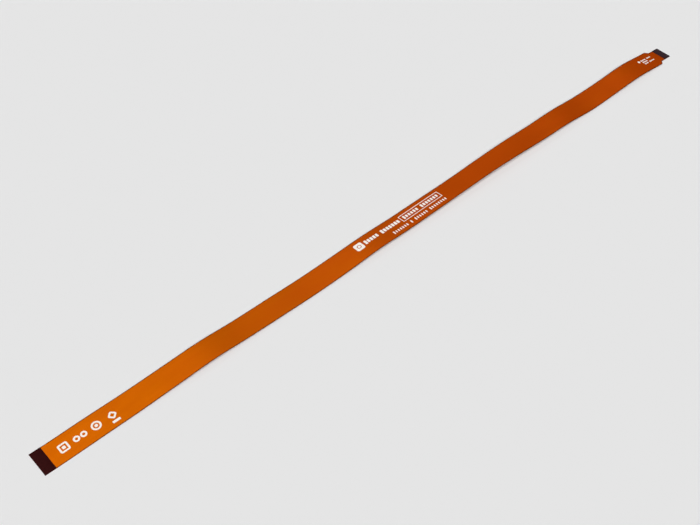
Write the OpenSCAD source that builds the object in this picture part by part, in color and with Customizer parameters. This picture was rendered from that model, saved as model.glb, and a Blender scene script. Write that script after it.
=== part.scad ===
// Flat flex cable: a long amber film strip with a row of copper conductors sealed inside it,
// a wide plug tip at one end and a narrow plug tip, on a neck, at the other. It lies loosely
// on a table, in low waves and with a slight twist. Millimetres, table at Z = 0, X along the strip.

/* [Strip] */
// Length along the strip, from tip to tip
strip_len = 500; // [300:5:700]
// Number of conductors
ways = 15; // [8:1:24]
// Width of a conductor
conductor_w = 0.25; // [0.1:0.05:0.3]
// Length over which the conductors close up towards the narrow tip
fan_l = 40; // [20:1:80]

/* [Wide tip] */
// Spacing of the contact fingers
wide_pitch = 1; // [0.8:0.05:1.25]
// Width of a contact finger
wide_finger_w = 0.7; // [0.4:0.05:0.75]
// Bare length on the contact side
wide_bare = 4; // [2.5:0.1:6]
// Length of the stiffener
wide_stiff_l = 6.6; // [4:0.1:12]

/* [Narrow tip] */
// Spacing of the contact fingers
narrow_pitch = 0.5; // [0.4:0.05:0.6]
// Width of a contact finger
narrow_finger_w = 0.3; // [0.2:0.05:0.35]
// Bare length on the contact side
narrow_bare = 3.5; // [2:0.1:5]
// Length of the stiffener
narrow_stiff_l = 5.7; // [4:0.1:8]
// Fingers left free between the data conductors and the control conductors
free_lanes = 6; // [0:1:8]
// Fingers left free before the last conductors
free_guard = 1; // [0:1:2]
// Number of conductors between those two gaps
control_ways = 2; // [1:1:3]
// Number of conductors after the second gap
supply_ways = 3; // [1:1:4]
// Length of the neck
neck_l = 9.4; // [8:0.1:14]
// Length of the slanted shoulders
shoulder_l = 2.3; // [1.5:0.1:4]
// Rounding of the shoulders' corners
shoulder_r = 1; // [0.2:0.1:2]
// Angle at which the narrow tip slopes down to the table
narrow_tilt = 5; // [1:0.5:10]

/* [Layers] */
// Thickness of a cover film
cover_t = 0.04; // [0.02:0.005:0.06]
// Thickness of the copper
copper_t = 0.02; // [0.01:0.005:0.035]
// Thickness of the base film
base_t = 0.03; // [0.02:0.005:0.05]
// Glue line between two layers
bond_t = 0.005; // [0.004:0.001:0.008]
// Thickness over the contact fingers, stiffener included
tip_t = 0.3; // [0.25:0.01:0.4]
// Thickness of the printed ink
ink_t = 0.015; // [0.01:0.005:0.03]

/* [Margins] */
// Bare film between the copper plane and the strip's edges
copper_edge = 0.4; // [0.2:0.05:1]
// Distance from a tip to the ends of its fingers
finger_setback = 0.4; // [0.2:0.05:0.8]
// Length of a finger that runs under the cover film
finger_tuck = 0.5; // [0.3:0.1:1]
// Straight strip beyond the stiffened tips
straight_l = 2; // [1:0.1:5]

/* [Print] */
// Bare film between the wide stiffener and the first mark
marks_gap = 6.1; // [2:0.1:30]
// Spacing of the marks
marks_step = 9.6; // [8:0.1:14]
// Size of a mark
mark_size = 5.6; // [4.5:0.1:7]
// Line width of the marks
mark_line = 1; // [0.4:0.1:1.2]
// Distance of the middle print from the middle of the strip's length
middle_shift = -2.2; // [-40:0.1:40]
// Distance of the upper row from the strip's middle line
upper_y = 2.1; // [1.5:0.1:4]
// Distance of the lower row from the strip's middle line
lower_y = 3.9; // [2.5:0.1:6]
// Bare film between the pieces of the upper row
print_gap = 1.2; // [0.5:0.1:3]
// Side of the solid tile that starts the upper row
tile_size = 5.8; // [3:0.1:6.5]
// Height of a block in the bold row
bold_h = 3.4; // [1.5:0.1:4]
// Spacing of the blocks in the bold row
bold_pitch = 2.15; // [1.5:0.05:3]
// Length of the framed field that ends the upper row
frame_l = 32.2; // [28:0.1:40]
// Width of the framed field
frame_w = 5.8; // [4:0.1:6.5]
// Line width of the frame
frame_line = 0.45; // [0.2:0.05:0.8]
// Height of a block in the lower row
fine_h = 2.4; // [1:0.1:2.8]
// Spacing of the blocks in the lower row
fine_pitch = 1.75; // [1:0.05:1.9]
// Distance from the small print's dot to the shoulders
small_gap = 12.7; // [11:0.1:30]
// Distance of the small print's upper row from the strip's middle line
small_y = 2.7; // [2:0.1:4]
// Spacing of the small print's rows
small_step = 1.85; // [1.5:0.05:2.5]
// Size of a block in the small print
small_h = 1.3; // [0.5:0.05:1.4]

/* [Hidden] */

// How the strip lies: rise of its middle and roll to one side, at even steps between its straight ends
lay_rise = [0.45, 0.7, 1.6, 2.55, 1.4, 0.95, 0.6, 1.3, 2.6, 2.35,
            2.9, 3.5, 4.45, 4.6, 3.8, 3.75, 1.95, 2.4, 3.35];
lay_roll = [-0.5, -2, -3.5, -4.5, -5, -4, -4, -4.5, -7, -7.5,
            -8.5, -10, -8.5, -4.5, -1.5, 0.5, 3, 1, 1];

// Fineness of the bends, the rounded corners and the discs
facet_l = 8;
arc_steps = 4;
disc_fn = 48;

// Rows of printed blocks, as the number of blocks in each group
bold_groups = [5, 7];
frame_groups = [6, 7];
fine_groups = [7, 1, 6, 8];
small_groups = [[4, 3], [4], [3, 4]];

// Share of its cell that a block fills in each kind of row, its rounding, and the height of the lower blocks
bold_fill = 0.75;
frame_fill = 0.65;
fine_fill = 0.5;
small_fill = 0.7;
block_round = 0.25;
block_low = 0.8;

narrow_ways = ways + free_lanes + free_guard;
strip_w = (ways + 1) * wide_pitch;
neck_w = (narrow_ways + 1) * narrow_pitch;
half_w = strip_w / 2;
neck_half = neck_w / 2;

// Heights of the layers above the strip's underside
conductor_h = cover_t + bond_t;
base_h = conductor_h + copper_t + bond_t;
plane_h = base_h + base_t + bond_t;
top_cover_h = plane_h + copper_t + bond_t;
top_h = top_cover_h + cover_t;
stiff_h = top_h + bond_t;
stiff_t = conductor_h + tip_t - stiff_h;
ink_h = top_h + bond_t;

// Places along the strip
wide_straight = max(wide_stiff_l, wide_bare + finger_tuck) + straight_l;
narrow_straight = max(neck_l, narrow_stiff_l, narrow_bare + finger_tuck) + shoulder_l + straight_l;
flex_end = strip_len - narrow_straight;
flex_l = flex_end - wide_straight;
wide_finger_end = wide_bare + finger_tuck;
narrow_finger_end = strip_len - narrow_bare - finger_tuck;
facets = round(flex_l / facet_l);
step = flex_l / facets;
tip_z = -base_h * cos(narrow_tilt);

// Smooth run through evenly spaced values, with a given slope at both ends
knots = len(lay_rise) + 1;
knot_l = flex_l / knots;
rises = concat([0], lay_rise, [tip_z + narrow_straight * sin(narrow_tilt)]);
rolls = concat([0], lay_roll, [0]);
function slope(v, i, last) =
    i == 0 ? 0 : i == knots ? last : (v[i + 1] - v[i - 1]) / (2 * knot_l);
function blend(a, b, ma, mb, t) =
    let (u = t * t * (3 - 2 * t))
    a + (b - a) * u + knot_l * (ma * t * (1 - t) * (1 - t) - mb * t * t * (1 - t));
function run(v, s, last) =
    let (u = min(max((s - wide_straight) / knot_l, 0), knots))
    let (i = min(floor(u), knots - 1))
    blend(v[i], v[i + 1], slope(v, i, last), slope(v, i + 1, last), u - i);

// Points on the two edges, one at each step
step_s = [for (j = [0:facets]) wide_straight + j * step];
step_z = [for (s = step_s) run(rises, s, -sin(narrow_tilt))];
step_roll = [for (s = step_s) run(rolls, s, 0)];
step_x = [for (j = 0, x = wide_straight; j <= facets;
               x = x + (j < facets ? sqrt(step * step - pow(step_z[j + 1] - step_z[j], 2)) : 0),
               j = j + 1) x];
tip_x = step_x[facets] + narrow_straight * cos(narrow_tilt);
mid_x = (tip_x + (conductor_h + tip_t) * sin(narrow_tilt)) / 2;
tip_dir = [cos(narrow_tilt), 0, -sin(narrow_tilt)];
tip_up = [sin(narrow_tilt), 0, cos(narrow_tilt)];
function unit(v) = v / norm(v);
function middle(j) = [step_x[j], 0, step_z[j]];
function over(j) = [0, cos(step_roll[j]), sin(step_roll[j])];
function upward(j) =
    j == 0 ? [0, 0, 1] : j == facets ? tip_up : unit(cross(middle(j + 1) - middle(j - 1), over(j)));

// Sections across the strip: the points on its two edges, their normals and their distances along it.
// In the bent run they go to and fro between the edges, so that every facet is flat and the layers nest.
function crease(j, m) =
    [middle(j) - half_w * over(j), middle(m) + half_w * over(m),
     upward(j), upward(m), step_s[j], step_s[m]];
function across(p, up, s) = [p - [0, half_w, 0], p + [0, half_w, 0], up, up, s, s];
function straight(s) =
    s < flex_end
    ? across([s, 0, 0], [0, 0, 1], s)
    : across([tip_x, 0, tip_z] - (strip_len - s) * tip_dir, tip_up, s);
bent = concat([for (k = [0:facets]) crease(2 * floor(k / 2), max(0, 2 * ceil(k / 2) - 1))],
              [crease(facets, facets)]);
function share(y) = y / strip_w + 0.5;
function between(a, b, t) = a * (1 - t) + b * t;
function distance(sec, y) = between(sec[4], sec[5], share(y));
function place(sec, y, h) =
    between(sec[0], sec[1], share(y)) + h * between(sec[2], sec[3], share(y));

// Outline of the shoulders, as [distance, half width]
shoulder_start = strip_len - neck_l - shoulder_l;
neck_start = strip_len - neck_l;
shoulder_a = atan2(abs(half_w - neck_half), shoulder_l);
shoulder_side = sign(half_w - neck_half);
slant_l = shoulder_l / cos(shoulder_a);
// Largest share of the slant that one rounding takes up
slant_share = 0.45;
fillet_r = min(shoulder_r, slant_share * slant_l / tan(shoulder_a / 2));
fillet_t = fillet_r * tan(shoulder_a / 2);
function round_step(i) = shoulder_a * i / arc_steps;
function inward(i) = shoulder_side * fillet_r * (1 - cos(round_step(i)));
function along(i) = fillet_r * sin(round_step(i)) - fillet_t;
shoulders = concat(
    [for (i = [0:arc_steps]) [shoulder_start + along(i), half_w - inward(i)]],
    [for (i = [arc_steps:-1:0]) [neck_start - along(i), neck_half + inward(i)]]);

// A flat-sided ribbon through the sections, between two lists of places across and two heights
module ribbon(secs, from_y, to_y, low, high) {
    last = len(secs) - 1;
    corners = [for (i = [0:last]) each [
        place(secs[i], from_y[i], low), place(secs[i], to_y[i], low),
        place(secs[i], to_y[i], high), place(secs[i], from_y[i], high)]];
    walls = [for (i = [0:last - 1], c = [0:3])
        let (p = 4 * i + c, q = 4 * i + (c + 1) % 4)
        each [if (corners[p] != corners[p + 4]) [p, p + 4, q],
              if (corners[q] != corners[q + 4]) [q, p + 4, q + 4]]];
    ends = [[0, 1, 2], [0, 2, 3],
            [4 * last, 4 * last + 2, 4 * last + 1], [4 * last, 4 * last + 3, 4 * last + 2]];
    polyhedron(corners, concat(walls, ends));
}

// A sheet of the strip's outline, less a margin, between two distances and two heights
module sheet(from_s, to_s, margin, low, high) {
    outline = concat([[straight(from_s), half_w]],
                     [for (sec = bent) [sec, half_w]],
                     [for (p = shoulders) [straight(p[0]), p[1]]],
                     [[straight(to_s), neck_half]]);
    secs = [for (o = outline) o[0]];
    halves = [for (o = outline) o[1] - margin];
    ribbon(secs, -halves, halves, low, high);
}

module on_table() {
    translate([-mid_x, 0, 0]) children();
}

// Frames at the tips: X from the tip into the strip, Z up from the strip's underside
module at_wide_tip() {
    on_table() children();
}

module at_narrow_tip() {
    on_table() translate([tip_x, 0, tip_z]) rotate([0, narrow_tilt, 0]) mirror([1, 0, 0]) children();
}

module bottom_coverlay() {
    color([0.78, 0.40, 0.05]) on_table()
        sheet(wide_bare, strip_len - narrow_bare, 0, 0, cover_t);
}

module base_film() {
    color([0.74, 0.42, 0.10]) on_table()
        sheet(0, strip_len, 0, base_h, base_h + base_t);
}

module ground_plane() {
    color([0.72, 0.45, 0.25]) on_table()
        sheet(finger_setback, strip_len - finger_setback, copper_edge, plane_h, plane_h + copper_t);
}

module top_coverlay() {
    color([0.80, 0.40, 0.02]) on_table()
        sheet(0, strip_len, 0, top_cover_h, top_cover_h + cover_t);
}

// Finger of the narrow tip on which a conductor ends
function landing(k) =
    k + (k >= ways - control_ways - supply_ways ? free_lanes : 0)
      + (k >= ways - supply_ways ? free_guard : 0);
function wide_y(k) = (k - (ways - 1) / 2) * wide_pitch;
function narrow_y(f) = (f - (narrow_ways - 1) / 2) * narrow_pitch;
function lane_y(k, s) =
    let (t = min(max((s - flex_end + fan_l) / fan_l, 0), 1))
    wide_y(k) + (narrow_y(landing(k)) - wide_y(k)) * t * t * (3 - 2 * t);

module conductors() {
    secs = concat([straight(wide_finger_end + bond_t)], bent,
                  [straight(narrow_finger_end - bond_t)]);
    color([0.72, 0.45, 0.25]) on_table()
        for (k = [0:ways - 1]) {
            lane = [for (sec = secs) lane_y(k, distance(sec, wide_y(k)))];
            inner = [for (y = lane) y - conductor_w / 2];
            outer = [for (y = lane) y + conductor_w / 2];
            ribbon(secs, inner, outer, conductor_h, conductor_h + copper_t);
        }
}

module finger(l, w) {
    translate([finger_setback, -w / 2, conductor_h]) cube([l - finger_setback, w, copper_t]);
}

module wide_contacts() {
    color([0.86, 0.70, 0.32]) at_wide_tip()
        for (k = [0:ways - 1])
            translate([0, wide_y(k), 0]) finger(wide_finger_end, wide_finger_w);
}

module narrow_contacts() {
    color([0.86, 0.70, 0.32]) at_narrow_tip()
        for (f = [0:narrow_ways - 1])
            translate([0, narrow_y(f), 0]) finger(strip_len - narrow_finger_end, narrow_finger_w);
}

module stiffener(l, w) {
    translate([0, -w / 2, stiff_h]) cube([l, w, stiff_t]);
}

module wide_stiffener() {
    color([0.16, 0.07, 0.08]) at_wide_tip() stiffener(wide_stiff_l, strip_w);
}

module narrow_stiffener() {
    color([0.14, 0.12, 0.14]) at_narrow_tip() stiffener(narrow_stiff_l, neck_w);
}

// Printed shapes, drawn flat and laid on the strip
function plan_x(s) =
    s > flex_end
    ? tip_x - (strip_len - s) * cos(narrow_tilt)
    : lookup(s, [for (j = [0:facets]) [step_s[j], step_x[j]]]);

module laid(from_s, to_s) {
    reach = 3 * step;
    printable = concat([straight(wide_stiff_l)], bent, [straight(strip_len - narrow_stiff_l)]);
    secs = [for (sec = printable) if (sec[4] > from_s - reach && sec[5] < to_s + reach) sec];
    halves = [for (sec = secs) half_w - copper_edge];
    color([0.96, 0.95, 0.92]) on_table() intersection() {
        ribbon(secs, -halves, halves, ink_h, ink_h + ink_t);
        translate([0, 0, -half_w]) linear_extrude(max(rises) + strip_w) children();
    }
}

module at(s, y) {
    translate([plan_x(s), y]) children();
}

module disc(d) {
    circle(d = d, $fn = disc_fn);
}

module ring(d, line) {
    difference() {
        disc(d);
        disc(d - 2 * line);
    }
}

module round_box(l, w, r) {
    corner = [l / 2 - r, w / 2 - r];
    polygon([for (c = [0:3], i = [0:arc_steps])
        let (a = 90 * (c + i / arc_steps))
        [corner.x * (c == 0 || c == 3 ? 1 : -1), corner.y * (c < 2 ? 1 : -1)] + r * [cos(a), sin(a)]]);
}

module round_frame(l, w, line) {
    hole = [l - 2 * line, w - 2 * line];
    difference() {
        round_box(l, w, line);
        round_box(hole.x, hole.y, min(line, hole.x / 2, hole.y / 2) / 2);
    }
}

// A row of blocks in groups, one cell apart, with the first block of a group the tallest
function cells_before(groups, g) = g == 0 ? 0 : cells_before(groups, g - 1) + groups[g - 1] + 1;
function row_l(groups, pitch) = (cells_before(groups, len(groups)) - 1) * pitch;

module blocks(s, y, groups, pitch, h, fill) {
    w = fill * pitch;
    for (g = [0:len(groups) - 1], c = [0:groups[g] - 1])
        at(s + (cells_before(groups, g) + c + 1 / 2) * pitch, y)
            round_box(w, c == 0 ? h : block_low * h, block_round * w);
}

// Four marks: a framed block, a pair of rings, a target, and a diamond over a bar
module wide_print() {
    core = mark_size / 3;
    pair_d = 2 * core;
    pair_step = pair_d + mark_line / 2;
    bar = [5 / 6 * mark_size, 3 / 2 * mark_line];
    diamond = mark_size / sqrt(2);
    marks = [for (m = [0:3]) wide_stiff_l + marks_gap + mark_size / 2 + m * marks_step];
    laid(marks[0] - mark_size, marks[3] + mark_size) {
        at(marks[0], 0) {
            round_frame(mark_size, mark_size, mark_line);
            round_box(core, core, block_round * core);
        }
        at(marks[1], 0)
            for (side = [-1, 1])
                translate([side * pair_step / 2, 0]) ring(pair_d, mark_line);
        at(marks[2], 0) {
            ring(mark_size, mark_line);
            disc(core);
        }
        at(marks[3], 0) {
            rotate(45) round_frame(diamond, diamond, mark_line);
            translate([0, -mark_size / 2 - bar.y])
                round_box(bar.x, bar.y, block_round * bar.y);
        }
    }
}

// A tile, a bold row and a framed row, with a finer row below that ends where the frame ends
module middle_print() {
    bold_l = row_l(bold_groups, bold_pitch);
    middle_l = tile_size + print_gap + bold_l + print_gap + frame_l;
    from_s = strip_len / 2 + middle_shift - middle_l / 2;
    to_s = from_s + middle_l;
    frame_s = to_s - frame_l / 2;
    framed_l = frame_l - 2 * frame_line - 2 * print_gap;
    framed_pitch = framed_l / row_l(frame_groups, 1);
    laid(from_s, to_s) {
        at(from_s + tile_size / 2, upper_y) difference() {
            round_box(tile_size, tile_size, print_gap);
            ring(tile_size / 2, frame_line);
        }
        blocks(from_s + tile_size + print_gap, upper_y, bold_groups, bold_pitch, bold_h, bold_fill);
        at(frame_s, upper_y) round_frame(frame_l, frame_w, frame_line);
        blocks(frame_s - framed_l / 2, upper_y, frame_groups, framed_pitch, frame_w / 2, frame_fill);
        blocks(to_s - row_l(fine_groups, fine_pitch), -lower_y, fine_groups, fine_pitch, fine_h, fine_fill);
    }
}

// A dot and short rows
module narrow_print() {
    from_s = shoulder_start - small_gap;
    indent = 3 / 2 * small_h;
    laid(from_s, strip_len) {
        at(from_s, small_y) disc(indent);
        for (r = [0:len(small_groups) - 1])
            blocks(from_s + indent, small_y - r * small_step, small_groups[r], small_h, small_h, small_fill);
    }
}

bottom_coverlay();
conductors();
base_film();
ground_plane();
top_coverlay();
wide_contacts();
narrow_contacts();
wide_stiffener();
narrow_stiffener();
wide_print();
middle_print();
narrow_print();
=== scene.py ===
"""Looks of the flat flex cable: amber films, copper, gold fingers, dark stiffeners and white print.

Every piece is cut flat, in millimetres, with X along the strip, Y across it and Z up from its
underside. It is then laid along the low waves and the slight twist in which the strip lies.
"""

import logging
import math
from dataclasses import dataclass, field
from enum import Enum

import bmesh
import bpy
from bmesh.types import BMEdge, BMFace, BMVert
from bpy.types import Material, Node, NodeSocket, Object
from mathutils import Matrix, Vector


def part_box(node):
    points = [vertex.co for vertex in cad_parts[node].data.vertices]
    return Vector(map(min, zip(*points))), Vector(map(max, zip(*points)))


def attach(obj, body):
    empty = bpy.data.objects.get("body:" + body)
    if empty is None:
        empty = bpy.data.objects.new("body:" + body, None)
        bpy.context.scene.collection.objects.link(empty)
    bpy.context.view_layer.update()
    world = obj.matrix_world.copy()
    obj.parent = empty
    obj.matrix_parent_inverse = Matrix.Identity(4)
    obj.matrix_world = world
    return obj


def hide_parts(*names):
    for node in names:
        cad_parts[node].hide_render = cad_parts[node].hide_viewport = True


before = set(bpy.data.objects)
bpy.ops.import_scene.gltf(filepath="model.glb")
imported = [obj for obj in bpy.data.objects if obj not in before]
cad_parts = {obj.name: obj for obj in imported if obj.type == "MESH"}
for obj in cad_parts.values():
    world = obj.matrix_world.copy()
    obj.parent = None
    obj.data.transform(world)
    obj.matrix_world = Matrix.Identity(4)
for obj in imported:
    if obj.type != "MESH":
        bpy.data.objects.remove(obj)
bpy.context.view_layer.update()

LOG = logging.getLogger("flat_flex_cable")
BODY = "root"
MM = 0.001

Pair = tuple[float, float]
Triple = tuple[float, float, float]
Colour = Triple


class Layer(Enum):
    """Lowest and highest level of each layer above the strip's underside, in millimetres."""

    BOTTOM_COVER = (0.0, 0.04)
    CONDUCTORS = (0.045, 0.065)
    BASE_FILM = (0.07, 0.1)
    GROUND_PLANE = (0.105, 0.125)
    TOP_COVER = (0.13, 0.17)
    STIFFENER = (0.175, 0.345)
    INK = (0.175, 0.19)

    @property
    def low(self) -> float:
        """Level of the layer's lower face."""
        return self.value[0]

    @property
    def high(self) -> float:
        """Level of the layer's upper face."""
        return self.value[1]

    @property
    def thickness(self) -> float:
        """Thickness of the layer."""
        return self.high - self.low


class Tip(Enum):
    """The two plug tips of the strip."""

    WIDE = "wide"
    NARROW = "narrow"


@dataclass(frozen=True)
class StripSizes:
    """Sizes of the strip in millimetres, as in its solids, and the tilt of its narrow tip in radians."""

    length: float = 500.0
    ways: int = 15
    conductor_w: float = 0.25
    fan_l: float = 40.0
    wide_pitch: float = 1.0
    wide_finger_w: float = 0.7
    wide_bare: float = 4.0
    wide_stiff_l: float = 6.6
    wide_straight: float = 8.6
    narrow_pitch: float = 0.5
    narrow_finger_w: float = 0.3
    narrow_bare: float = 3.5
    narrow_stiff_l: float = 5.7
    narrow_straight: float = 13.7
    narrow_tilt: float = math.radians(5)
    free_lanes: int = 6
    free_guard: int = 1
    control_ways: int = 2
    supply_ways: int = 3
    neck_l: float = 9.4
    shoulder_l: float = 2.3
    shoulder_r: float = 1.0
    copper_edge: float = 0.4
    finger_setback: float = 0.4
    finger_tuck: float = 0.5
    bond: float = 0.005

    @property
    def narrow_ways(self) -> int:
        """Number of fingers on the narrow tip."""
        return self.ways + self.free_lanes + self.free_guard

    @property
    def half_w(self) -> float:
        """Half the strip's width."""
        return (self.ways + 1) * self.wide_pitch / 2

    @property
    def neck_half(self) -> float:
        """Half the neck's width."""
        return (self.narrow_ways + 1) * self.narrow_pitch / 2

    @property
    def bend_end(self) -> float:
        """Distance at which the bent run ends and the narrow tip starts."""
        return self.length - self.narrow_straight

    @property
    def wide_finger_end(self) -> float:
        """Distance at which the wide tip's fingers end."""
        return self.wide_bare + self.finger_tuck

    @property
    def narrow_finger_end(self) -> float:
        """Distance at which the narrow tip's fingers end."""
        return self.length - self.narrow_bare - self.finger_tuck

    @property
    def shoulder_start(self) -> float:
        """Distance at which the shoulders start."""
        return self.length - self.neck_l - self.shoulder_l

    def wide_y(self, way: int) -> float:
        """Place across the strip of a conductor, before it fans in."""
        return (way - (self.ways - 1) / 2) * self.wide_pitch

    def narrow_y(self, finger: int) -> float:
        """Place across the neck of a finger of the narrow tip."""
        return (finger - (self.narrow_ways - 1) / 2) * self.narrow_pitch

    def lane_y(self, way: int, s: float) -> float:
        """Place across the strip of a conductor at a distance.

        Args:
            way: Number of the conductor, from 0.
            s: Distance along the strip.

        Returns:
            The place of the conductor's middle line.
        """
        finger = way
        finger += self.free_lanes if way >= self.ways - self.control_ways - self.supply_ways else 0
        finger += self.free_guard if way >= self.ways - self.supply_ways else 0
        t = min(max((s - self.bend_end + self.fan_l) / self.fan_l, 0.0), 1.0)
        return self.wide_y(way) + (self.narrow_y(finger) - self.wide_y(way)) * t * t * (3 - 2 * t)


@dataclass
class Lay:
    """How the strip lies: the rise of its middle and its roll, at even steps along the bent run.

    The rises are millimetres above the table, and the rolls are degrees. The pieces are cut for
    bending at the distances step_s, which lie at step_x along X, and at step_y across the strip.
    """

    sizes: StripSizes
    rises: tuple[float, ...] = (
        0.45, 0.7, 1.6, 2.55, 1.4, 0.95, 0.6, 1.3, 2.6, 2.35,
        2.9, 3.5, 4.45, 4.6, 3.8, 3.75, 1.95, 2.4, 3.35,
    )
    rolls: tuple[float, ...] = (
        -0.5, -2.0, -3.5, -4.5, -5.0, -4.0, -4.0, -4.5, -7.0, -7.5,
        -8.5, -10.0, -8.5, -4.5, -1.5, 0.5, 3.0, 1.0, 1.0,
    )
    cuts_per_knot: int = 12
    knot_l: float = field(init=False)
    step_l: float = field(init=False)
    step_s: list[float] = field(init=False)
    step_y: list[float] = field(init=False)
    step_x: list[float] = field(init=False)
    wide_x: float = field(init=False)
    tip_x: float = field(init=False)

    def __post_init__(self) -> None:
        """Works out the places of the cuts, with both tips where the solids have them."""
        sizes = self.sizes
        tilt = sizes.narrow_tilt
        spans = len(self.rises) + 1
        cuts = spans * self.cuts_per_knot + 1
        self.knot_l = (sizes.bend_end - sizes.wide_straight) / spans
        self.step_l = self.knot_l / self.cuts_per_knot
        self.step_s = [sizes.wide_straight + i * self.step_l for i in range(cuts)]
        self.step_y = [sizes.wide_y(way) + sizes.wide_pitch / 2 for way in range(-1, sizes.ways)]
        self.wide_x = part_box("base_film")[0].x / MM
        self.tip_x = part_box("base_film")[1].x / MM - Layer.BASE_FILM.high * math.sin(tilt) - self.wide_x
        levels = [self.rise(s) for s in self.step_s]
        runs = [math.sqrt(self.step_l**2 - (b - a) ** 2) for a, b in zip(levels, levels[1:])]
        bend_x = self.tip_x - sizes.narrow_straight * math.cos(tilt) - sizes.wide_straight
        stretch = bend_x / sum(runs)
        self.step_x = [sizes.wide_straight]
        for run in runs:
            self.step_x.append(self.step_x[-1] + run * stretch)

    @property
    def tip_z(self) -> float:
        """Level of the strip's underside at the narrow tip, whose base film touches the table."""
        return -Layer.BASE_FILM.low * math.cos(self.sizes.narrow_tilt)

    def smooth(self, knots: list[float], last: float, s: float) -> float:
        """Reads a smooth run through evenly spaced values.

        Args:
            knots: Values from the start of the bent run to its end.
            last: Slope at the end of the run.
            s: Distance along the strip.

        Returns:
            The value at that distance.
        """
        u = min(max((s - self.sizes.wide_straight) / self.knot_l, 0.0), len(knots) - 1.0)
        i = min(int(u), len(knots) - 2)
        t = u - i

        def slope(k: int) -> float:
            """Reads the slope at one of the values.

            Args:
                k: Number of the value, from 0.

            Returns:
                The slope, which is level at the start and given at the end.
            """
            if k == 0:
                return 0.0
            if k == len(knots) - 1:
                return last
            return (knots[k + 1] - knots[k - 1]) / (2 * self.knot_l)

        eased = knots[i] + (knots[i + 1] - knots[i]) * t * t * (3 - 2 * t)
        return eased + self.knot_l * (slope(i) * t * (1 - t) ** 2 - slope(i + 1) * t * t * (1 - t))

    def rise(self, s: float) -> float:
        """Reads the level of the underside's middle line in the bent run.

        Args:
            s: Distance along the strip.

        Returns:
            The level above the table.
        """
        down = math.sin(self.sizes.narrow_tilt)
        end = self.tip_z + self.sizes.narrow_straight * down
        return self.smooth([0.0, *self.rises, end], -down, s)

    def roll(self, s: float) -> float:
        """Roll of the strip at a distance in the bent run, in radians."""
        return math.radians(self.smooth([0.0, *self.rolls, 0.0], 0.0, s))

    def run_x(self, s: float) -> float:
        """Finds how far along X a distance in the bent run is.

        Args:
            s: Distance along the strip.

        Returns:
            The place along X from the wide tip.
        """
        u = (s - self.sizes.wide_straight) / self.step_l
        i = min(max(int(u), 0), len(self.step_x) - 2)
        return self.step_x[i] + (self.step_x[i + 1] - self.step_x[i]) * (u - i)

    def place(self, s: float, y: float, h: float) -> Vector:
        """Lays one point of the flat strip.

        Args:
            s: Distance along the strip, in millimetres.
            y: Place across the strip.
            h: Level above the strip's underside.

        Returns:
            The point in the part's frame, in metres.
        """
        tilt = self.sizes.narrow_tilt
        if s <= self.sizes.wide_straight:
            point = Vector((s, y, h))
        elif s >= self.sizes.bend_end:
            back = self.sizes.length - s
            point = Vector((self.tip_x - back * math.cos(tilt), y, self.tip_z + back * math.sin(tilt)))
            point += h * Vector((math.sin(tilt), 0.0, math.cos(tilt)))
        else:
            reach = self.step_l / 2
            climb = (self.rise(s + reach) - self.rise(s - reach)) / (2 * reach)
            along = Vector((math.sqrt(1 - climb * climb), 0.0, climb))
            over = Vector((0.0, math.cos(self.roll(s)), math.sin(self.roll(s))))
            middle = Vector((self.run_x(s), 0.0, self.rise(s)))
            point = middle + y * over + h * along.cross(over).normalized()
        return (point + Vector((self.wide_x, 0.0, 0.0))) * MM

    def path(self) -> list[Vector]:
        """Follows the strip's middle line from tip to tip.

        Returns:
            A point at each tip and at each knot of the bent run, in metres.
        """
        knots = self.step_s[:: self.cuts_per_knot]
        middle = (Layer.BOTTOM_COVER.low + Layer.TOP_COVER.high) / 2
        return [self.place(s, 0.0, middle) for s in (0.0, *knots, self.sizes.length)]


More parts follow.
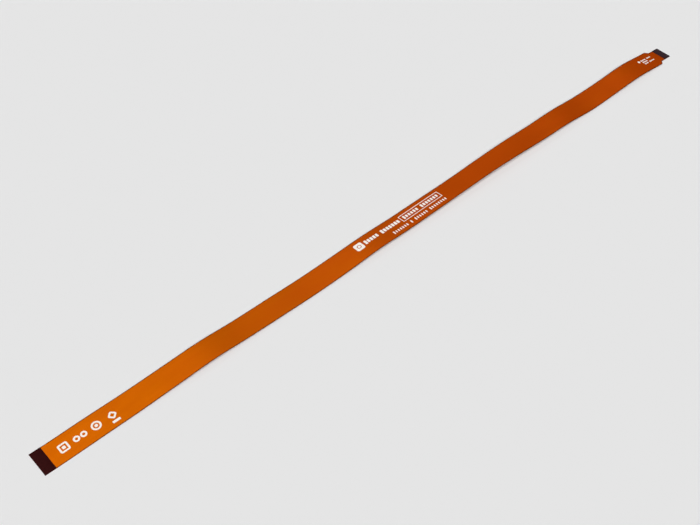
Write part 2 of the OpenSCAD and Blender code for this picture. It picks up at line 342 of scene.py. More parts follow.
class FlatCut:
    """A piece that is cut from flat stock and then laid along the strip."""

    # A shape has this material number while its corners are rounded.
    MARK = 9
    # Profile of a rounding that is an arc.
    ARC = 0.5
    CORNER_STEPS = 6
    EASE_STEPS = 2
    DISC_STEPS = 48
    # Points closer than these lengths, in millimetres, count as level or as on a cut.
    SAME_LEVEL = 1e-6
    SNAP = 1e-5
    # Faces that meet at a larger angle keep a sharp edge.
    CREASE = math.radians(25)

    def __init__(self) -> None:
        """Starts with nothing cut."""
        self.bm = bmesh.new()

    def shape(self, corners: list[Pair], level: float) -> BMFace:
        """Adds a flat shape at a level from its corners, each a distance and a place across."""
        return self.bm.faces.new([self.bm.verts.new((s, y, level)) for s, y in corners])

    def lane(self, from_s: float, to_s: float, half: float, level: float) -> BMFace:
        """Adds a flat lane of a half width along the middle line, from one distance to another."""
        return self.shape([(from_s, -half), (to_s, -half), (to_s, half), (from_s, half)], level)

    def box(self, s: float, y: float, size: Pair, r: float, level: float, turn: float = 0.0) -> BMFace:
        """Adds a flat rectangle with rounded corners.

        Args:
            s: Distance of its middle along the strip.
            y: Place of its middle across the strip.
            size: Length and width.
            r: Rounding of the corners.
            level: Level of the shape.
            turn: Turn about its middle, in radians.

        Returns:
            The rectangle's face.
        """
        face = self.lane(-size[0] / 2, size[0] / 2, size[1] / 2, level)
        place = Matrix.Translation((s, y, 0.0)) @ Matrix.Rotation(turn, 4, "Z")
        bmesh.ops.transform(self.bm, matrix=place, verts=list(face.verts))
        return self.round_corners(face, list(face.verts), r)

    def round_corners(self, face: BMFace, corners: list[BMVert], cut: float) -> BMFace:
        """Rounds corners of a flat shape.

        Args:
            face: The shape.
            corners: The corners that are rounded.
            cut: Length that the rounding takes from each side.

        Returns:
            The face that takes the shape's place.
        """
        face.material_index = self.MARK
        bmesh.ops.bevel(
            self.bm, geom=corners, offset=cut, offset_type="OFFSET", segments=self.CORNER_STEPS,
            profile=self.ARC, affect="VERTICES", material=-1,
        )
        rounded = next(f for f in self.bm.faces if f.material_index == self.MARK)
        rounded.material_index = 0
        return rounded

    def disc(self, s: float, y: float, d: float, level: float) -> BMFace:
        """Adds a flat disc.

        Args:
            s: Distance of its middle along the strip.
            y: Place of its middle across the strip.
            d: Diameter.
            level: Level of the disc.

        Returns:
            The disc's face.
        """
        made = bmesh.ops.create_circle(
            self.bm, cap_ends=True, segments=self.DISC_STEPS, radius=d / 2,
            matrix=Matrix.Translation((s, y, level)),
        )
        return made["verts"][0].link_faces[0]

    def hollow(self, face: BMFace, line: float) -> None:
        """Leaves only a line along a shape's edge.

        Args:
            face: The shape.
            line: Width of the line.
        """
        bmesh.ops.inset_region(
            self.bm, faces=[face], thickness=line, use_boundary=True, use_even_offset=True,
        )
        bmesh.ops.delete(self.bm, geom=[face], context="FACES")

    def thicken(self, rise: float) -> None:
        """Gives every flat shape its thickness, upwards.

        Args:
            rise: The thickness.
        """
        made = bmesh.ops.extrude_face_region(self.bm, geom=self.bm.faces[:])["geom"]
        tops = [v for v in made if isinstance(v, BMVert)]
        bmesh.ops.translate(self.bm, verts=tops, vec=(0.0, 0.0, rise))
        bmesh.ops.recalc_face_normals(self.bm, faces=self.bm.faces[:])

    def faces_at(self, level: float) -> list[BMFace]:
        """The flat faces at a level."""
        near = self.SAME_LEVEL
        return [f for f in self.bm.faces if all(abs(v.co.z - level) < near for v in f.verts)]

    def rims_at(self, level: float) -> list[BMEdge]:
        """The outer edges of the flat faces at a level."""
        flat = set(self.faces_at(level))
        return [e for e in self.bm.edges if len(flat.intersection(e.link_faces)) == 1]

    def ease(self, edges: list[BMEdge], cut: float) -> None:
        """Rounds edges of a thickened piece.

        Args:
            edges: The edges.
            cut: Width of the rounding.
        """
        bmesh.ops.bevel(
            self.bm, geom=edges, offset=cut, offset_type="OFFSET", segments=self.EASE_STEPS,
            profile=self.ARC, affect="EDGES", material=-1,
        )

    def score(self, lay: Lay) -> None:
        """Cuts the piece along and across at every step of the lay, so that it can bend and twist there.

        Args:
            lay: How the strip lies.
        """
        corners = [v.co.copy() for v in self.bm.verts]
        for axis, steps in ((1, lay.step_y), (0, lay.step_s)):
            low = min(c[axis] for c in corners)
            high = max(c[axis] for c in corners)
            across = Vector((1.0 - axis, axis, 0.0))
            for step in steps:
                if low < step < high:
                    geom = self.bm.verts[:] + self.bm.edges[:] + self.bm.faces[:]
                    bmesh.ops.bisect_plane(
                        self.bm, geom=geom, dist=self.SNAP, plane_co=across * step, plane_no=across,
                    )

    def bend(self, lay: Lay) -> None:
        """Scores the piece and moves every point to where the strip lies.

        Args:
            lay: How the strip lies.
        """
        self.score(lay)
        for v in self.bm.verts:
            v.co = lay.place(*v.co)

    def bend_in_lanes(self, lay: Lay) -> None:
        """Repeats the piece along every conductor's lane and lays it.

        Args:
            lay: How the strip lies.
        """
        self.score(lay)
        single = bpy.data.meshes.new("single_lane")
        self.bm.to_mesh(single)
        self.bm.clear()
        for way in range(lay.sizes.ways):
            start = len(self.bm.verts)
            self.bm.from_mesh(single)
            self.bm.verts.ensure_lookup_table()
            for v in self.bm.verts[start:]:
                v.co = lay.place(v.co.x, lay.sizes.lane_y(way, v.co.x) + v.co.y, v.co.z)
        bpy.data.meshes.remove(single)

    def join(self, other: "FlatCut") -> None:
        """Takes over the shapes of another piece.

        Args:
            other: The other piece, which is used up.
        """
        mesh = bpy.data.meshes.new("joined")
        other.bm.to_mesh(mesh)
        other.bm.free()
        self.bm.from_mesh(mesh)
        bpy.data.meshes.remove(mesh)

    def publish(self, name: str, node: str, slot: str, finishes: list[Material]) -> Object:
        """Makes the finished piece, hangs it on the body and hides the solid that it stands for.

        Args:
            name: Name of the piece.
            node: Name of the solid's node.
            slot: Material slot of the record; not used.
            finishes: Materials, in the order of the faces' material numbers.

        Returns:
            The new object.
        """
        bmesh.ops.recalc_face_normals(self.bm, faces=self.bm.faces[:])
        for face in self.bm.faces:
            face.smooth = True
        for edge in self.bm.edges:
            edge.smooth = edge.calc_face_angle(math.pi) < self.CREASE
        mesh = bpy.data.meshes.new(name)
        self.bm.to_mesh(mesh)
        self.bm.free()
        for finish in finishes:
            mesh.materials.append(finish)
        piece = bpy.data.objects.new(name, mesh)
        bpy.context.scene.collection.objects.link(piece)
        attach(piece, BODY)
        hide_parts(node)
        return piece


@dataclass(frozen=True)
class Texture:
    """Cells in a metre of a finish's tone, gloss and grain along X, Y and Z, and the grain's relief.

    The depth is the relief's full height in metres, and the share is how much of it shows.
    """

    tone: Triple
    gloss: Triple
    grain: Triple
    depth: float
    share: float


class Shader:
    """A material with one Principled shader, built a node at a time on Object coordinates."""

    # A noise pattern seldom leaves this range, so tones and gloss are spread over it.
    LOW = 0.3
    HIGH = 0.7
    CLOUD_SHARE = 0.25
    DETAIL = 3.0
    GRAIN_DETAIL = 2.0

    def __init__(self, name: str) -> None:
        """Starts an empty material.

        Args:
            name: Name of the material.
        """
        self.material = bpy.data.materials.new(name)
        self.material.use_nodes = True
        self.tree = self.material.node_tree
        self.surface = self.tree.nodes["Principled BSDF"]
        self.coords = self.add("ShaderNodeTexCoord").outputs["Object"]

    def add(self, kind: str) -> Node:
        """Adds a node of a kind."""
        return self.tree.nodes.new(kind)

    def link(self, source: NodeSocket, target: NodeSocket) -> None:
        """Joins two sockets."""
        self.tree.links.new(source, target)

    def set(self, **values: float | Colour) -> None:
        """Sets constants on the shader's own sockets.

        Args:
            **values: Values by the names of the sockets, with _ for a space.
        """
        for key, value in values.items():
            socket = self.surface.inputs[key.replace("_", " ")]
            socket.default_value = (*value, 1.0) if isinstance(value, tuple) else value

    def noise(self, per_metre: Triple, detail: float = DETAIL) -> NodeSocket:
        """Adds a noise pattern.

        Args:
            per_metre: Number of cells in a metre along X, Y and Z.
            detail: Number of finer octaves.

        Returns:
            The pattern's value, about 0 to 1.
        """
        mapping = self.add("ShaderNodeMapping")
        mapping.inputs["Scale"].default_value = per_metre
        cells = self.add("ShaderNodeTexNoise")
        cells.inputs["Scale"].default_value = 1.0
        cells.inputs["Detail"].default_value = detail
        self.link(self.coords, mapping.inputs["Vector"])
        self.link(mapping.outputs["Vector"], cells.inputs["Vector"])
        return cells.outputs["Fac"]

    def painted_light_falloff(self, cloud: NodeSocket, from_x: float, to_x: float) -> NodeSocket:
        """Adds a pattern of painted light that runs from low to high along the strip, as the light falls off,
        with a little cloud in it.

        Args:
            cloud: A noise pattern.
            from_x: Place along X, in metres, up to which the pattern is low.
            to_x: Place along X from which it is high.

        Returns:
            The pattern's value.
        """
        place = self.add("ShaderNodeSeparateXYZ")
        ramp = self.add("ShaderNodeMapRange")
        ramp.inputs["From Min"].default_value = from_x
        ramp.inputs["From Max"].default_value = to_x
        ramp.inputs["To Min"].default_value = self.LOW - self.CLOUD_SHARE / 2
        ramp.inputs["To Max"].default_value = self.HIGH - self.CLOUD_SHARE / 2
        mixed = self.add("ShaderNodeMath")
        mixed.operation = "MULTIPLY_ADD"
        mixed.inputs[1].default_value = self.CLOUD_SHARE
        self.link(self.coords, place.inputs["Vector"])
        self.link(place.outputs["X"], ramp.inputs["Value"])
        self.link(cloud, mixed.inputs[0])
        self.link(ramp.outputs["Result"], mixed.inputs[2])
        return mixed.outputs["Value"]

    def tint(self, pattern: NodeSocket, low: Colour, high: Colour) -> None:
        """Colours the surface between two colours by a pattern.

        Args:
            pattern: Value that picks the colour.
            low: Colour where the pattern is low.
            high: Colour where the pattern is high.
        """
        ramp = self.add("ShaderNodeValToRGB")
        ramp.color_ramp.elements[0].position = self.LOW
        ramp.color_ramp.elements[1].position = self.HIGH
        ramp.color_ramp.elements[0].color = (*low, 1.0)
        ramp.color_ramp.elements[1].color = (*high, 1.0)
        self.link(pattern, ramp.inputs["Fac"])
        self.link(ramp.outputs["Color"], self.surface.inputs["Base Color"])

    def roughen(self, pattern: NodeSocket, low: float, high: float) -> None:
        """Varies the roughness between two values by a pattern.

        Args:
            pattern: Value that picks the roughness.
            low: Roughness where the pattern is low.
            high: Roughness where the pattern is high.
        """
        spread = self.add("ShaderNodeMapRange")
        spread.inputs["From Min"].default_value = self.LOW
        spread.inputs["From Max"].default_value = self.HIGH
        spread.inputs["To Min"].default_value = low
        spread.inputs["To Max"].default_value = high
        self.link(pattern, spread.inputs["Value"])
        self.link(spread.outputs["Result"], self.surface.inputs["Roughness"])

    def emboss(self, pattern: NodeSocket, depth: float, strength: float) -> None:
        """Gives the surface a fine relief.

        Args:
            pattern: Height of the relief.
            depth: Full height of the relief, in metres.
            strength: Share of the relief that shows.
        """
        bump = self.add("ShaderNodeBump")
        bump.inputs["Distance"].default_value = depth
        bump.inputs["Strength"].default_value = strength
        self.link(pattern, bump.inputs["Height"])
        self.link(bump.outputs["Normal"], self.surface.inputs["Normal"])

    def dress(
        self, texture: Texture, low: Colour, high: Colour, rough: Pair, run: Pair | None = None,
    ) -> None:
        """Gives the surface a cloudy tone, an uneven gloss and a fine grain.

        Args:
            texture: Cells of the tone, the gloss and the grain.
            low: Colour where the tone is low.
            high: Colour where the tone is high.
            rough: Lowest and highest roughness.
            run: Stretch along X, in metres, over which the tone shifts as painted light, if it does.
        """
        cloud = self.noise(texture.tone)
        # A run paints light into the tone: it shifts along the strip as the light falls off.
        self.tint(self.painted_light_falloff(cloud, *run) if run else cloud, low, high)
        self.roughen(self.noise(texture.gloss), *rough)
        self.emboss(self.noise(texture.grain, self.GRAIN_DETAIL), texture.depth, texture.share)


@dataclass(frozen=True)
class FilmFinish:
    """Satin amber film, tinted by what lies under it, with rolling lines and a fine grain, and with painted
    light where its tone runs along the strip.
    """

    name: str
    deep: Colour
    light: Colour
    run: Pair | None = None
    rough: Pair = (0.4, 0.47)
    texture: Texture = Texture(
        tone=(30.0, 120.0, 120.0), gloss=(60.0, 400.0, 400.0), grain=(900.0, 4000.0, 4000.0),
        depth=2e-6, share=0.15,
    )
    sheen_share: float = 0.9
    sheen_tint: Colour = (0.8, 0.4, 0.15)

    def material(self) -> Material:
        """Builds the film, whose tone may shift along the strip as painted light.

        Returns:
            The material.
        """
        shader = Shader(self.name)
        shader.dress(self.texture, self.deep, self.light, self.rough, self.run)
        shader.set(Metallic=self.sheen_share, Specular_IOR_Level=0.0, Specular_Tint=self.sheen_tint)
        return shader.material


@dataclass(frozen=True)
class MetalFinish:
    """Thin metal with a patchy tone, an uneven gloss and lines drawn along the strip."""

    name: str
    dull: Colour
    bright: Colour
    rough: Pair
    texture: Texture = Texture(
        tone=(400.0, 900.0, 900.0), gloss=(700.0, 2500.0, 2500.0), grain=(600.0, 9000.0, 9000.0),
        depth=1e-6, share=0.2,
    )

    def material(self) -> Material:
        """Builds the metal.

        Returns:
            The material.
        """
        shader = Shader(self.name)
        shader.dress(self.texture, self.dull, self.bright, self.rough)
        shader.set(Metallic=1.0)
        return shader.material


@dataclass(frozen=True)
class CoatFinish:
    """A thin coat with an uneven tone, an uneven gloss and a fine tooth."""

    name: str
    low: Colour
    high: Colour
    rough: Pair
    texture: Texture
    gloss_level: float

    def material(self) -> Material:
        """Builds the coat.

        Returns:
            The material.
        """
        shader = Shader(self.name)
        shader.dress(self.texture, self.low, self.high, self.rough)
        shader.set(Specular_IOR_Level=self.gloss_level)
        return shader.material


@dataclass(frozen=True)
class StiffenerFinish(CoatFinish):
    """Dark film over the stiffening layer, with a satin gloss."""

    rough: Pair = (0.45, 0.58)
    texture: Texture = Texture(
        tone=(700.0,) * 3, gloss=(1500.0,) * 3, grain=(6000.0,) * 3, depth=3e-6, share=0.3,
    )
    gloss_level: float = 0.03


@dataclass(frozen=True)
class InkFinish(CoatFinish):
    """White screen print, a little thin in places, with a matt and grainy face."""

    rough: Pair = (0.5, 0.65)
    texture: Texture = Texture(
        tone=(1800.0,) * 3, gloss=(3000.0,) * 3, grain=(9000.0,) * 3, depth=3e-6, share=0.3,
    )
    gloss_level: float = 0.2


@dataclass(frozen=True)
class Finishes:
    """The materials of the cable."""

    over_copper: Material
    bare_margin_edge_shade: Material
    under_film: Material
    ridge_film: Material
    base_film: Material
    copper: Material
    gold: Material
    wide_stiffener: Material
    narrow_stiffener: Material
    ink: Material

    @classmethod
    def mix(cls) -> "Finishes":
        """Makes every material once.

        Returns:
            The materials.
        """
        recipes = {
            # The run paints light: this film is yellower and brighter towards the wide tip, where more light
            # falls.
            "over_copper": FilmFinish(
                "film_over_copper", deep=(0.385, 0.08, 0.0006), light=(0.388, 0.0555, 0.0028),
                run=(-0.21, 0.04),
            ),
            # The bare margin is partly real, a film with no copper under it, and partly painted shade: it is
            # darkened to stand for the shadow along the strip's edges.
            "bare_margin_edge_shade": FilmFinish("bare_margin_edge_shade", deep=(0.085, 0.018, 0.0012), light=(0.12, 0.026, 0.0018)),
            "under_film": FilmFinish("film_under", deep=(0.3, 0.06, 0.003), light=(0.34, 0.07, 0.004)),
            "ridge_film": FilmFinish("film_over_tracks", deep=(0.42, 0.11, 0.008), light=(0.48, 0.13, 0.01)),
            "base_film": FilmFinish("base_film", deep=(0.26, 0.07, 0.006), light=(0.31, 0.085, 0.008)),
            "copper": MetalFinish(
                "copper_foil", dull=(0.5, 0.19, 0.09), bright=(0.66, 0.28, 0.15), rough=(0.3, 0.42),
            ),
            "gold": MetalFinish(
                "gold_plating", dull=(0.72, 0.46, 0.13), bright=(0.84, 0.58, 0.2), rough=(0.22, 0.34),
            ),
            "wide_stiffener": StiffenerFinish(
                "wide_stiffener_film", low=(0.0235, 0.0024, 0.0024), high=(0.0305, 0.0032, 0.0032),
            ),
            "narrow_stiffener": StiffenerFinish(
                "narrow_stiffener_film", low=(0.026, 0.0125, 0.016), high=(0.032, 0.016, 0.0205),
            ),
            "ink": InkFinish("white_ink", low=(0.94, 0.9, 0.84), high=(1.0, 0.97, 0.92)),
        }
        return cls(**{name: recipe.material() for name, recipe in recipes.items()})


@dataclass
class FilmStack:
    """The films and the copper of the strip, with the copper's outline showing through the covers."""

    sizes: StripSizes
    lay: Lay
    finishes: Finishes
    relief: float = 0.008
    slope_w: float = 0.03
    ridge_spread: float = 0.04

    def outline(self, from_s: float, to_s: float, margin: float, level: float) -> FlatCut:
        """Cuts a flat sheet of the strip's outline, with its slanted, rounded shoulders.

        Args:
            from_s: Distance of the sheet's start.
            to_s: Distance of its end.
            margin: Width that is left off along both edges.
            level: Level of the sheet.

        Returns:
            The flat sheet.
        """
        wide, neck = self.sizes.half_w - margin, self.sizes.neck_half - margin
        start = self.sizes.shoulder_start
        end = start + self.sizes.shoulder_l
        near = [(from_s, -wide), (start, -wide), (end, -neck), (to_s, -neck)]
        far = [(s, -y) for s, y in reversed(near)]
        cut = FlatCut()
        face = cut.shape(near + far, level)
        bends = [v for v in face.verts if start <= v.co.x <= end]
        turn = math.atan2(wide - neck, self.sizes.shoulder_l)
        cut.round_corners(face, bends, self.sizes.shoulder_r * math.tan(turn / 2))
        return cut

    def top_cover(self) -> Object:
        """Makes the top cover film: a plateau over the copper, with a lower, bare margin round it, darkened
        as painted shade along the edges.

        Returns:
            The piece.
        """
        low, high = Layer.TOP_COVER.low, Layer.TOP_COVER.high
        cut = self.outline(0.0, self.sizes.length, 0.0, low)
        cut.thicken(high - low - self.relief)
        top = cut.faces_at(high - self.relief)[0]
        bmesh.ops.inset_region(cut.bm, faces=[top], thickness=self.sizes.copper_edge, use_even_offset=True)
        ring = bmesh.ops.inset_region(
            cut.bm, faces=[top], thickness=self.slope_w, depth=self.relief, use_even_offset=True,
        )["faces"]
        for face in (top, *ring):
            face.material_index = 1
        cut.bend(self.lay)
        # The margin's dark film is painted shade along the strip's edges.
        films = [self.finishes.bare_margin_edge_shade, self.finishes.over_copper]
        return cut.publish("top_cover_film", "top_coverlay", "cover_film", films)

    def bottom_cover(self) -> Object:
        """Makes the bottom cover film, with a low ridge over every conductor.

        Returns:
            The piece.
        """
        from_s, to_s = self.sizes.wide_bare, self.sizes.length - self.sizes.narrow_bare
        cut = self.outline(from_s, to_s, 0.0, self.relief)
        cut.thicken(Layer.BOTTOM_COVER.high - self.relief)
        cut.bend(self.lay)
        ridge = FlatCut()
        half = self.sizes.conductor_w / 2 + self.ridge_spread
        clear = self.sizes.finger_tuck / 2
        ridge.lane(from_s + clear, to_s - clear, half, 0.0)
        ridge.thicken(2 * self.relief)
        ridge.ease(ridge.rims_at(0.0), self.relief / 2)
        for face in ridge.bm.faces:
            face.material_index = 1
        ridge.bend_in_lanes(self.lay)
        cut.join(ridge)
        films = [self.finishes.under_film, self.finishes.ridge_film]
        return cut.publish("bottom_cover_film", "bottom_coverlay", "cover_film", films)

    def base_film(self) -> Object:
        """Makes the base film, which shows between the fingers and at the strip's edges.

        Returns:
            The piece.
        """
        cut = self.outline(0.0, self.sizes.length, 0.0, Layer.BASE_FILM.low)
        cut.thicken(Layer.BASE_FILM.thickness)
        cut.bend(self.lay)
        return cut.publish("base_film_core", "base_film", "base_film", [self.finishes.base_film])

    def ground_plane(self) -> Object:
        """Makes the copper plane under the top cover film.

        Returns:
            The piece.
        """
        back = self.sizes.finger_setback
        cut = self.outline(back, self.sizes.length - back, self.sizes.copper_edge, Layer.GROUND_PLANE.low)
        cut.thicken(Layer.GROUND_PLANE.thickness)
        cut.bend(self.lay)
        return cut.publish("copper_plane", "ground_plane", "copper", [self.finishes.copper])

    def conductors(self) -> Object:
        """Makes the row of copper conductors, which closes up towards the narrow tip.

        Returns:
            The piece.
        """
        from_s = self.sizes.wide_finger_end + self.sizes.bond
        to_s = self.sizes.narrow_finger_end - self.sizes.bond
        cut = FlatCut()
        cut.lane(from_s, to_s, self.sizes.conductor_w / 2, Layer.CONDUCTORS.low)
        cut.thicken(Layer.CONDUCTORS.thickness)
        cut.bend_in_lanes(self.lay)
        return cut.publish("copper_conductors", "conductors", "copper", [self.finishes.copper])


@dataclass
class PlugTip:
    """One plug tip: the stiffener on top and the row of gold fingers beneath."""

    sizes: StripSizes
    lay: Lay
    finishes: Finishes
    tip: Tip
    edge_ease: float = 0.02
    finger_ease: float = 0.005
    finger_round: float = 0.12

    @property
    def wide(self) -> bool:
        """Whether this is the wide tip."""
        return self.tip is Tip.WIDE

    def along(self, from_tip: float) -> float:
        """Distance along the strip of a distance from this tip."""
        return from_tip if self.wide else self.sizes.length - from_tip

    def stiffener(self) -> Object:
        """Makes the stiffener with its upper edges eased.

        Returns:
            The piece.
        """
        length = self.sizes.wide_stiff_l if self.wide else self.sizes.narrow_stiff_l
        half = self.sizes.half_w if self.wide else self.sizes.neck_half
        cut = FlatCut()
        cut.box(self.along(length / 2), 0.0, (length, 2 * half), 2 * self.edge_ease, Layer.STIFFENER.low)
        cut.thicken(Layer.STIFFENER.thickness)
        cut.ease(cut.rims_at(Layer.STIFFENER.high), self.edge_ease)
        cut.bend(self.lay)
        name = f"{self.tip.value}_stiffener"
        finish = self.finishes.wide_stiffener if self.wide else self.finishes.narrow_stiffener
        return cut.publish(f"{name}_film", name, name, [finish])

    def contacts(self) -> Object:
        """Makes the row of gold fingers, with rounded ends and eased lower edges.

        Returns:
            The piece.
        """
        count = self.sizes.ways if self.wide else self.sizes.narrow_ways
        width = self.sizes.wide_finger_w if self.wide else self.sizes.narrow_finger_w
        bare = self.sizes.wide_bare if self.wide else self.sizes.narrow_bare
        start, end = self.sizes.finger_setback, bare + self.sizes.finger_tuck
        low = Layer.CONDUCTORS.low
        cut = FlatCut()
        for finger in range(count):
            y = self.sizes.wide_y(finger) if self.wide else self.sizes.narrow_y(finger)
            cut.box(self.along((start + end) / 2), y, (end - start, width), self.finger_round, low)
        cut.thicken(Layer.CONDUCTORS.thickness)
        cut.ease(cut.rims_at(low), self.finger_ease)
        cut.bend(self.lay)
        name = f"{self.tip.value}_contacts"
        return cut.publish(f"{self.tip.value}_gold_fingers", name, "gold", [self.finishes.gold])


@dataclass
class Print:
    """The white print: plain marks, blocks in rows, a tile and a framed field."""

    sizes: StripSizes
    lay: Lay
    finishes: Finishes
    marks_gap: float = 6.1
    marks_step: float = 9.6
    mark_size: float = 5.6
    mark_line: float = 1.0
    core_ratio: float = 3.0
    bar_share: float = 5 / 6
    bar_ratio: float = 1.5
    middle_shift: float = -2.2
    upper_y: float = 2.1
    lower_y: float = 3.9
    gap: float = 1.2
    tile_size: float = 5.8
    bold_h: float = 3.4
    bold_pitch: float = 2.15
    frame_l: float = 32.2
    frame_w: float = 5.8
    frame_line: float = 0.45
    fine_h: float = 2.4
    fine_pitch: float = 1.75
    small_gap: float = 12.7
    small_y: float = 2.7
    small_step: float = 1.85
    small_h: float = 1.3
    dot_ratio: float = 1.5
    bold_groups: tuple[int, ...] = (5, 7)
    frame_groups: tuple[int, ...] = (6, 7)
    fine_groups: tuple[int, ...] = (7, 1, 6, 8)
    small_groups: tuple[tuple[int, ...], ...] = ((4, 3), (4,), (3, 4))
    bold_fill: float = 0.75
    frame_fill: float = 0.65
    fine_fill: float = 0.5
    small_fill: float = 0.7
    block_round: float = 0.25
    block_low: float = 0.8
    level: float = Layer.INK.low

    def frame_box(self, cut: FlatCut, s: float, y: float, size: Pair, line: float, turn: float = 0.0) -> None:
        """Prints a frame of a length and width, whose line's width also rounds its corners."""
        cut.hollow(cut.box(s, y, size, line, self.level, turn), line)

    def ring(self, cut: FlatCut, s: float, y: float, d: float, line: float) -> None:
        """Prints a ring of a diameter and a line width."""
        cut.hollow(cut.disc(s, y, d, self.level), line)

    @staticmethod
    def cells(groups: tuple[int, ...]) -> int:
        """Number of cells in a row of blocks, with one free cell between its groups."""
        return sum(groups) + len(groups) - 1

    def blocks(
        self, cut: FlatCut, s: float, y: float, groups: tuple[int, ...], pitch: float, h: float, fill: float,
    ) -> None:
        """Prints a row of blocks in groups, the first block of each the tallest.

        Args:
            cut: The print that it belongs to.
            s: Distance of the row's start.
            y: Place of the row across the strip.
            groups: Number of blocks in each group.
            pitch: Spacing of the blocks.
            h: Height of the tallest blocks.
            fill: Share of its cell that a block fills.
        """
        width = fill * pitch
        cell = 0.5
        for count in groups:
            for block in range(count):
                height = h if block == 0 else self.block_low * h
                cut.box(s + cell * pitch, y, (width, height), self.block_round * width, self.level)
                cell += 1
            cell += 1

    def tile(self, cut: FlatCut, s: float, y: float) -> None:
        """Prints the tile, with a ring left bare in it.

        Args:
            cut: The print that it belongs to.
            s: Distance of its middle.
            y: Place of its middle across the strip.
        """
        ring_d = self.tile_size / 2
        rim = cut.box(s, y, (self.tile_size, self.tile_size), self.gap, self.level)
        outer = list(rim.edges)
        bmesh.ops.delete(cut.bm, geom=[rim], context="FACES_ONLY")
        hole = bmesh.ops.create_circle(
            cut.bm, cap_ends=False, segments=cut.DISC_STEPS, radius=ring_d / 2,
            matrix=Matrix.Translation((s, y, self.level)),
        )["verts"]
        inner = list({e for v in hole for e in v.link_edges})
        bmesh.ops.bridge_loops(cut.bm, edges=outer + inner)
        cut.disc(s, y, ring_d - 2 * self.frame_line, self.level)

    def lay_down(self, cut: FlatCut, name: str, node: str) -> Object:
        """Gives a print its thickness and lays it on the strip.

        Args:
            cut: The flat print.
            name: Name of the piece.
            node: Name of the solid's node.

        Returns:
            The piece.
        """
        cut.thicken(Layer.INK.thickness)
        cut.bend(self.lay)
        return cut.publish(name, node, "print", [self.finishes.ink])

    def wide_marks(self) -> Object:
        """Prints a framed block, two rings, a target and a diamond over a bar near the wide tip.

        Returns:
            The piece.
        """
        size, line = self.mark_size, self.mark_line
        core = size / self.core_ratio
        pair_d = 2 * core
        bar_w = self.bar_ratio * line
        first = self.sizes.wide_stiff_l + self.marks_gap + size / 2
        block, pair, target, diamond = (first + i * self.marks_step for i in range(4))
        cut = FlatCut()
        self.frame_box(cut, block, 0.0, (size, size), line)
        cut.box(block, 0.0, (core, core), self.block_round * core, self.level)
        for side in (-1, 1):
            self.ring(cut, pair + side * (pair_d + line / 2) / 2, 0.0, pair_d, line)
        self.ring(cut, target, 0.0, size, line)
        cut.disc(target, 0.0, core, self.level)
        slant = size / math.sqrt(2)
        self.frame_box(cut, diamond, 0.0, (slant, slant), line, math.pi / 4)
        bar = (self.bar_share * size, bar_w)
        cut.box(diamond, -size / 2 - bar_w, bar, self.block_round * bar_w, self.level)
        return self.lay_down(cut, "wide_marks", "wide_print")

    def middle_rows(self) -> Object:
        """Prints the tile, the bold row, the framed row and the finer row below.

        Returns:
            The piece.
        """
        bold_l = self.cells(self.bold_groups) * self.bold_pitch
        total = self.tile_size + bold_l + self.frame_l + 2 * self.gap
        start = self.sizes.length / 2 + self.middle_shift - total / 2
        end = start + total
        middle = end - self.frame_l / 2
        y = self.upper_y
        cut = FlatCut()
        self.tile(cut, start + self.tile_size / 2, y)
        bold_s = start + self.tile_size + self.gap
        self.blocks(cut, bold_s, y, self.bold_groups, self.bold_pitch, self.bold_h, self.bold_fill)
        self.frame_box(cut, middle, y, (self.frame_l, self.frame_w), self.frame_line)
        framed_l = self.frame_l - 2 * self.frame_line - 2 * self.gap
        framed_s = middle - framed_l / 2
        pitch = framed_l / self.cells(self.frame_groups)
        self.blocks(cut, framed_s, y, self.frame_groups, pitch, self.frame_w / 2, self.frame_fill)
        y = -self.lower_y
        fine_s = end - self.cells(self.fine_groups) * self.fine_pitch
        self.blocks(cut, fine_s, y, self.fine_groups, self.fine_pitch, self.fine_h, self.fine_fill)
        return self.lay_down(cut, "middle_rows", "middle_print")

    def small_rows(self) -> Object:
        """Prints the dot and the short rows near the narrow tip.

        Returns:
            The piece.
        """
        start = self.sizes.shoulder_start - self.small_gap
        dot_d = self.dot_ratio * self.small_h
        cut = FlatCut()
        cut.disc(start, self.small_y, dot_d, self.level)
        for row, groups in enumerate(self.small_groups):
            y = self.small_y - row * self.small_step
            self.blocks(cut, start + dot_d, y, groups, self.small_h, self.small_h, self.small_fill)
        return self.lay_down(cut, "small_rows", "narrow_print")


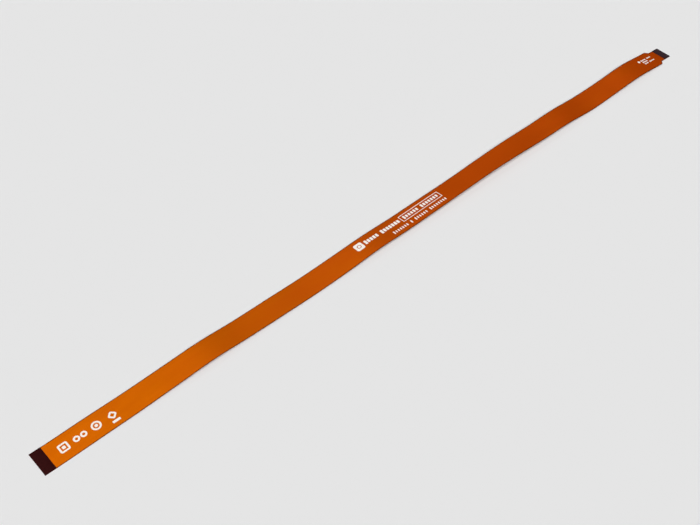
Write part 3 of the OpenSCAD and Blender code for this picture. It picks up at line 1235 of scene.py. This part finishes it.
@dataclass
class Studio:
    """Camera, floor and soft light, with places in metres, angles in radians and the lens in millimetres."""

    target: Triple = (-0.04418, -0.00198, 0.0)
    azimuth: float = math.radians(-41.525)
    elevation: float = math.radians(48.276)
    distance: float = 0.6297
    lens: float = 56.01
    near_clip: float = 0.01
    floor_size: float = 8.0
    floor_level: float = -0.00002
    floor_colour: Colour = (0.85, 0.85, 0.85)
    floor_rough: float = 0.9
    backdrop: float = 0.78
    fill: float = 0.045
    key_azimuth: float = math.radians(-8.5)
    key_elevation: float = math.radians(70.5)
    key_spread: float = math.radians(60)
    key_power: float = 0.25
    panel_power: float = 1.0
    front_azimuth: float = math.radians(-41.5)
    front_elevation: float = math.radians(51)
    front_spread: float = math.radians(30)
    front_power: float = 3.24

    @staticmethod
    def towards(azimuth: float, elevation: float) -> Vector:
        """Direction at an azimuth from -Y towards +X and an elevation."""
        flat = math.cos(elevation)
        return Vector((math.sin(azimuth) * flat, -math.cos(azimuth) * flat, math.sin(elevation)))

    def camera(self) -> None:
        """Sets the camera at the viewing angle of the photograph."""
        camera = bpy.data.objects.new("camera", bpy.data.cameras.new("camera"))
        camera.data.lens = self.lens
        camera.data.clip_start = self.near_clip
        back = self.towards(self.azimuth, self.elevation)
        camera.location = Vector(self.target) + self.distance * back
        camera.rotation_euler = back.to_track_quat("Z", "Y").to_euler()
        bpy.context.scene.collection.objects.link(camera)
        bpy.context.scene.camera = camera

    def floor(self) -> None:
        """Lays a plain pale floor under the strip."""
        bm = bmesh.new()
        bmesh.ops.create_grid(bm, x_segments=1, y_segments=1, size=self.floor_size / 2)
        bmesh.ops.translate(bm, verts=bm.verts[:], vec=(0.0, 0.0, self.floor_level))
        mesh = bpy.data.meshes.new("floor")
        bm.to_mesh(mesh)
        bm.free()
        shader = Shader("floor")
        shader.set(Base_Color=self.floor_colour, Roughness=self.floor_rough, Specular_IOR_Level=0.0)
        mesh.materials.append(shader.material)
        floor = bpy.data.objects.new("floor", mesh)
        bpy.context.scene.collection.objects.link(floor)

    @staticmethod
    def lamp(name: str, back: Vector, power: float, spread: float) -> Object:
        """Sets a broad, far lamp.

        Args:
            name: Name of the lamp.
            back: Direction to the lamp.
            power: Light that falls on a face turned to the lamp.
            spread: Angle that the lamp fills.

        Returns:
            The lamp.
        """
        light = bpy.data.lights.new(name, "SUN")
        light.energy = power
        light.angle = spread
        lamp = bpy.data.objects.new(name, light)
        lamp.rotation_euler = back.to_track_quat("Z", "Y").to_euler()
        bpy.context.scene.collection.objects.link(lamp)
        return lamp

    def light(self) -> None:
        """Sets the lamps in front and above, and a panel that only the gloss shows."""
        above = self.towards(math.pi - self.key_azimuth, self.key_elevation)
        front = self.towards(self.front_azimuth, self.front_elevation)
        self.lamp("key", above, self.key_power, self.key_spread)
        self.lamp("panel", above, self.panel_power, self.key_spread).visible_diffuse = False
        self.lamp("front", front, self.front_power, self.front_spread)

    def surround(self) -> None:
        """Surrounds the scene with an even fill, and with a pale backdrop for the eye, gloss and glass."""
        world = bpy.data.worlds.new("studio")
        bpy.context.scene.world = world
        world.use_nodes = True
        tree = world.node_tree
        rays = tree.nodes.new("ShaderNodeLightPath")
        seen = rays.outputs["Is Camera Ray"]
        for ray in ("Is Glossy Ray", "Is Transmission Ray"):
            either = tree.nodes.new("ShaderNodeMath")
            either.operation = "MAXIMUM"
            tree.links.new(seen, either.inputs[0])
            tree.links.new(rays.outputs[ray], either.inputs[1])
            seen = either.outputs["Value"]
        level = tree.nodes.new("ShaderNodeMapRange")
        level.inputs["To Min"].default_value = self.fill
        level.inputs["To Max"].default_value = self.backdrop
        background = tree.nodes["Background"]
        background.inputs["Color"].default_value = (1.0, 1.0, 1.0, 1.0)
        tree.links.new(seen, level.inputs["Value"])
        tree.links.new(level.outputs["Result"], background.inputs["Strength"])


def main() -> None:
    """Builds the camera, the strip, its tips and its print, and then the floor and the light."""
    logging.basicConfig(level=logging.INFO, format="%(message)s")
    bpy.context.scene.view_settings.view_transform = "Standard"
    sizes = StripSizes()
    lay = Lay(sizes)
    studio = Studio()
    studio.camera()
    finishes = Finishes.mix()
    films = FilmStack(sizes, lay, finishes)
    strip = films.top_cover()
    pieces = [films.bottom_cover(), films.base_film(), films.ground_plane(), films.conductors()]
    for tip in Tip:
        plug = PlugTip(sizes, lay, finishes, tip)
        pieces += [plug.stiffener(), plug.contacts()]
    ink = Print(sizes, lay, finishes)
    pieces += [ink.wide_marks(), ink.middle_rows(), ink.small_rows()]
    for piece in (strip, *pieces):
        LOG.info("%s: %d faces", piece.name, len(piece.data.polygons))
    path = lay.path()
    studio.floor()
    studio.light()
    studio.surround()


if __name__ == "__main__":
    main()
